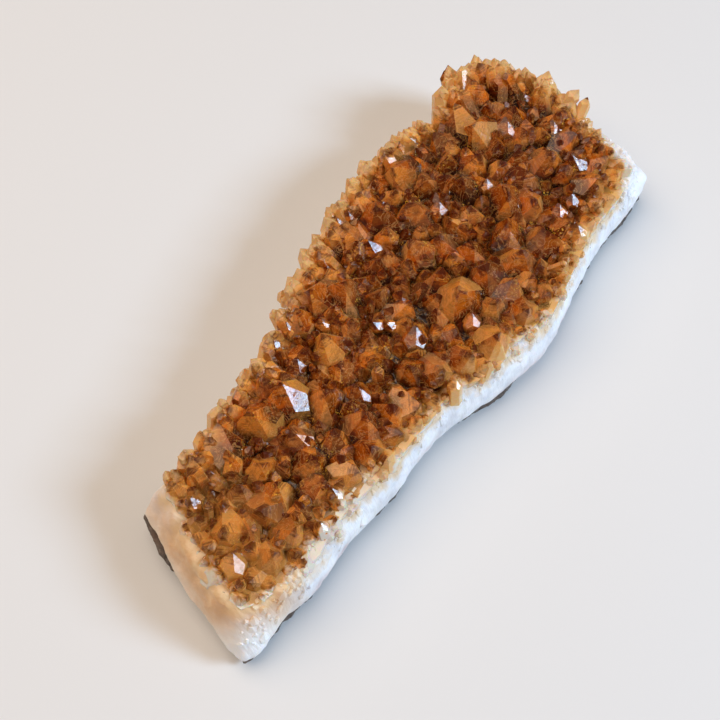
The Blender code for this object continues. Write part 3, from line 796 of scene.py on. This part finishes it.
# Painted shadow: in noisy patches, parts 1.5 to 4.5 mm below a tip turn nearly black
shadowed = span(tree, noise(tree, 110, detail=3, distortion=0.8), 0.48, 0.60, 0.0, 0.8)
deep = reckon(tree, "MULTIPLY", shadowed, span(tree, depth, 1.5, 4.5))
zoned_and_shaded = blend(tree, deep, zoned_and_shaded, (0.022, 0.005, 0.001))
frosted = blend(tree, span(tree, lustre, 0.45, 1.0, 0.0, 0.5), zoned_and_shaded, (0.92, 0.47, 0.17))
# Painted light and shade per face: some faces are darkened as shaded faces, and the highest-valued ones
# are painted bright orange as lit ones
shade = ramp(
    tree, span(tree, tone, 0, 1), (0.1, (0.24, 0.17, 0.15)), (0.45, (0.66, 0.57, 0.5)), (0.7, (1, 1, 1))
)
lit_and_shaded = blend(tree, 1.0, frosted, shade, "MULTIPLY")
lit_and_shaded = blend(tree, span(tree, tone, 0.6, 0.9, 0.0, 0.55), lit_and_shaded, (1.0, 0.47, 0.10))
# Painted shade: parts of the crust lying deep below the tips around them are painted nearly black
gap_shade_depth = reckon(tree, "ADD", attribute(tree, "sunk"), span(tree, clouds, 0.3, 0.7, -0.8, 0.8))
lit_and_shaded = blend(tree, span(tree, gap_shade_depth, 0.4, 3.0, 0.0, 0.94), lit_and_shaded, (0.026, 0.005, 0.001))
wisp_pattern = noise(tree, 300, detail=6, roughness=0.6, distortion=1.6)
wisps = thin_veins(tree, wisp_pattern, 0.03, 0.45)
wispy = blend(tree, wisps, lit_and_shaded, (0.95, 0.50, 0.16))
crack_pattern = noise(tree, 210, detail=6, roughness=0.65, distortion=2.2)
cracks = thin_veins(tree, crack_pattern, 0.025, 0.4)
cracked = blend(tree, cracks, wispy, (0.05, 0.012, 0.002))
# Painted glints: small bright orange spots, standing for light reflected inside the crystals
spark_grain = span(tree, noise(tree, 1700, detail=2, roughness=0.5), 0.58, 0.66)
spark_places = span(tree, noise(tree, 170, detail=2), 0.58, 0.66)
sparkling = blend(tree, reckon(tree, "MULTIPLY", spark_grain, spark_places), cracked, (1.0, 0.52, 0.06))
unevenness = span(tree, noise(tree, 260), 0.3, 0.7, -1.8, 1.8)
from_quartz = reckon(tree, "ADD", attribute(tree, "to_quartz"), unevenness)
from_rim = reckon(tree, "ADD", attribute(tree, "to_rim"), unevenness)
margin = reckon(tree, "MINIMUM", from_quartz, from_rim)
where = tree.nodes.new("ShaderNodeSeparateXYZ")
wire(tree, tree.nodes.new("ShaderNodeTexCoord").outputs["Object"], where.inputs["Vector"])
near_end = span(tree, where.outputs["X"], -50 * MM, -78 * MM, 0.0, 0.65)
honey_share = reckon(tree, "MAXIMUM", span(tree, margin, 1.0, 5.5, 0.8, 0.0), near_end)
honey = blend(tree, honey_share, sparkling, (1.0, 0.50, 0.12))
capped = blend(tree, span(tree, depth, 0.2, 2.0, 0.85, 0.0), honey, (0.12, 0.017, 0.0015))
rimmed = blend(tree, span(tree, from_rim, 0.0, 2.4, 0.7, 0.0), capped, (0.97, 0.62, 0.27))
corner = reckon(tree, "SUBTRACT", where.outputs["X"], where.outputs["Y"])
bleached = span(tree, corner, 95 * MM, 101 * MM, 0.0, 6.0)
near_side = span(tree, where.outputs["X"], -34 * MM, -42 * MM)
near_side = reckon(tree, "MULTIPLY", near_side, span(tree, where.outputs["Y"], -12 * MM, -14 * MM))
whitened = reckon(tree, "MULTIPLY", near_side, span(tree, from_rim, 0.5, 2.2, 0.9, 0.0))
pale_share = span(tree, reckon(tree, "SUBTRACT", from_quartz, bleached), 0.0, 1.8, 0.95, 0.0)
pale_share = reckon(tree, "MAXIMUM", pale_share, whitened)
pale = blend(tree, pale_share, rimmed, (0.95, 0.88, 0.78))
wire(tree, pale, shader.inputs["Base Color"])
shader.inputs["IOR"].default_value = 1.54
shader.inputs["Specular IOR Level"].default_value = 0.3
shader.inputs["Transmission Weight"].default_value = 0.28
shader.inputs["Subsurface Weight"].default_value = 0.5
shader.inputs["Subsurface Radius"].default_value = (1.0, 0.4, 0.1)
shader.inputs["Subsurface Scale"].default_value = 0.9 * MM
wire(tree, span(tree, lustre, 0, 1, 0.03, 0.26), shader.inputs["Roughness"])
steps = bump(tree, lines, 0.12 * MM, 0.5)
fine = bump(tree, noise(tree, 1600, detail=4, roughness=0.6), 0.05 * MM, 0.5, steps)
wire(tree, fine, shader.inputs["Normal"])
absorption = tree.nodes.new("ShaderNodeVolumeAbsorption")
absorption.inputs["Color"].default_value = (0.98, 0.62, 0.15, 1)
absorption.inputs["Density"].default_value = 150
wire(tree, absorption.outputs["Volume"], tree.nodes["Material Output"].inputs["Volume"])
crest.data.materials.clear()
crest.data.materials.append(citrine)
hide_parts("citrine_crystals")
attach(crest, "root")

# --- The white quartz's finish -------------------------------------------------------------------------
# The quartz is milky white, bluish along its side, cream where its end broke, and honey-coloured
# where the citrine shines through. It is finished after the crystals are in place, because its
# colours change with the distance to them.

quartz, shader, tree = nodes_of("white quartz")
place = tree.nodes.new("ShaderNodeTexCoord")
split = tree.nodes.new("ShaderNodeSeparateXYZ")
wire(tree, place.outputs["Object"], split.inputs["Vector"])
veils = noise(tree, 160, detail=6, roughness=0.6)
milk = ramp(tree, veils, (0.38, (0.72, 0.72, 0.75)), (0.6, (0.92, 0.92, 0.93)))
rosy = span(tree, noise(tree, 75, detail=3), 0.50, 0.62, 0.0, 0.7)
low_down = span(tree, split.outputs["Z"], 9 * MM, 5 * MM)
stained = blend(tree, reckon(tree, "MULTIPLY", rosy, low_down), milk, (0.60, 0.40, 0.39))
specks = reckon(tree, "MULTIPLY", span(tree, noise(tree, 900, detail=2), 0.72, 0.76), low_down)
specked = blend(tree, specks, stained, (0.28, 0.22, 0.20))
near = attribute(tree, "to_crystals")
reach = reckon(tree, "ADD", near, span(tree, noise(tree, 240, detail=4), 0.3, 0.7, -1.6, 1.6))
broken_end = span(tree, split.outputs["X"], WAXY_END, WAXY_END - 8 * MM)
waxy = ramp(
    tree, span(tree, reach, 0, 14), (0.0, (0.62, 0.32, 0.12)), (0.3, (0.76, 0.52, 0.32)),
    (0.6, (0.86, 0.71, 0.57)), (1.0, (0.92, 0.85, 0.79))
)
cream = blend(tree, broken_end, specked, waxy)
to_tip = reckon(tree, "ADD", split.outputs["X"], split.outputs["Y"])
cream = blend(tree, span(tree, to_tip, -89 * MM, -98 * MM), cream, (0.96, 0.94, 0.93))
across = reckon(tree, "SUBTRACT", split.outputs["X"], split.outputs["Y"])
unchipped = span(tree, across, CHIP, CHIP + 3 * MM, 0.85, 0.1)
honey_reach = reckon(tree, "MULTIPLY", span(tree, reach, 0.2, 2.4, 1.0, 0.0), unchipped)
honeyed = blend(tree, honey_reach, cream, (0.80, 0.58, 0.34))
wire(tree, honeyed, shader.inputs["Base Color"])
shader.inputs["Roughness"].default_value = 0.38
shader.inputs["Subsurface Weight"].default_value = 0.6
shader.inputs["Subsurface Radius"].default_value = (1.0, 0.85, 0.7)
shader.inputs["Subsurface Scale"].default_value = 2.0 * MM
combed = bump(tree, noise(tree, 520, detail=5, stretch=(1, 0.3, 0.12)), 0.7 * MM, 0.9)
sugary = bump(tree, noise(tree, 1500, detail=5, roughness=0.65), 0.1 * MM, 0.6, combed)
wire(tree, sugary, shader.inputs["Normal"])
base.data.materials.clear()
base.data.materials.append(quartz)
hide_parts("white_quartz_base")
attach(base, "root")

# --- The stage ---------------------------------------------------------------------------------------
# Not part of the slab: a plain pale floor that it lies on, a cool window to one side and a warm room
# above, and a camera that looks down on it.

FLOOR_SIZE = 3.0

bpy.ops.mesh.primitive_plane_add(size=FLOOR_SIZE)
floor = bpy.context.object
floor.name = "floor"
pale_floor, shader, tree = nodes_of("pale floor")
shader.inputs["Base Color"].default_value = (0.735, 0.73, 0.72, 1)
shader.inputs["Roughness"].default_value = 0.7
floor.data.materials.append(pale_floor)

CAMERA_PLACE = (-0.12227, -0.07319, 0.24434)
HEADING = 34  # degrees from +X to the camera's way, seen from above
DOWN = 60  # degrees that it looks down
FIELD = 36  # degrees across the picture
camera_data = bpy.data.cameras.new("camera")
camera_data.sensor_width = 36
camera_data.lens = 18 / math.tan(math.radians(FIELD / 2))
camera_data.clip_start = 0.01
camera = bpy.data.objects.new("camera", camera_data)
bpy.context.scene.collection.objects.link(camera)
camera.location = CAMERA_PLACE
camera.rotation_euler = (math.radians(90 - DOWN), 0, math.radians(HEADING - 90))
bpy.context.scene.camera = camera


def area_light(name, towards, distance, size, power, colour):
    """A soft light at a distance in some direction from the slab, which it faces."""
    light = bpy.data.lights.new(name, "AREA")
    light.shape = "RECTANGLE"
    light.size, light.size_y = size
    light.energy = power
    light.color = colour
    lamp = bpy.data.objects.new(name, light)
    bpy.context.scene.collection.objects.link(lamp)
    lamp.location = Vector(towards).normalized() * distance
    lamp.rotation_euler = Vector(towards).to_track_quat("Z", "Y").to_euler()


area_light("window", (0.33, -0.76, 0.56), 1.2, (0.34, 0.38), 13, (0.58, 0.77, 1.0))
area_light("room", (-0.12, 0.38, 0.90), 1.0, (1.1, 1.1), 9.0, (1.0, 0.84, 0.70))
world = bpy.data.worlds.new("studio")
world.use_nodes = True
world.node_tree.nodes["Background"].inputs["Color"].default_value = (1.0, 0.86, 0.74, 1)
world.node_tree.nodes["Background"].inputs["Strength"].default_value = 0.18
bpy.context.scene.world = world

bpy.context.scene.view_settings.view_transform = "Standard"
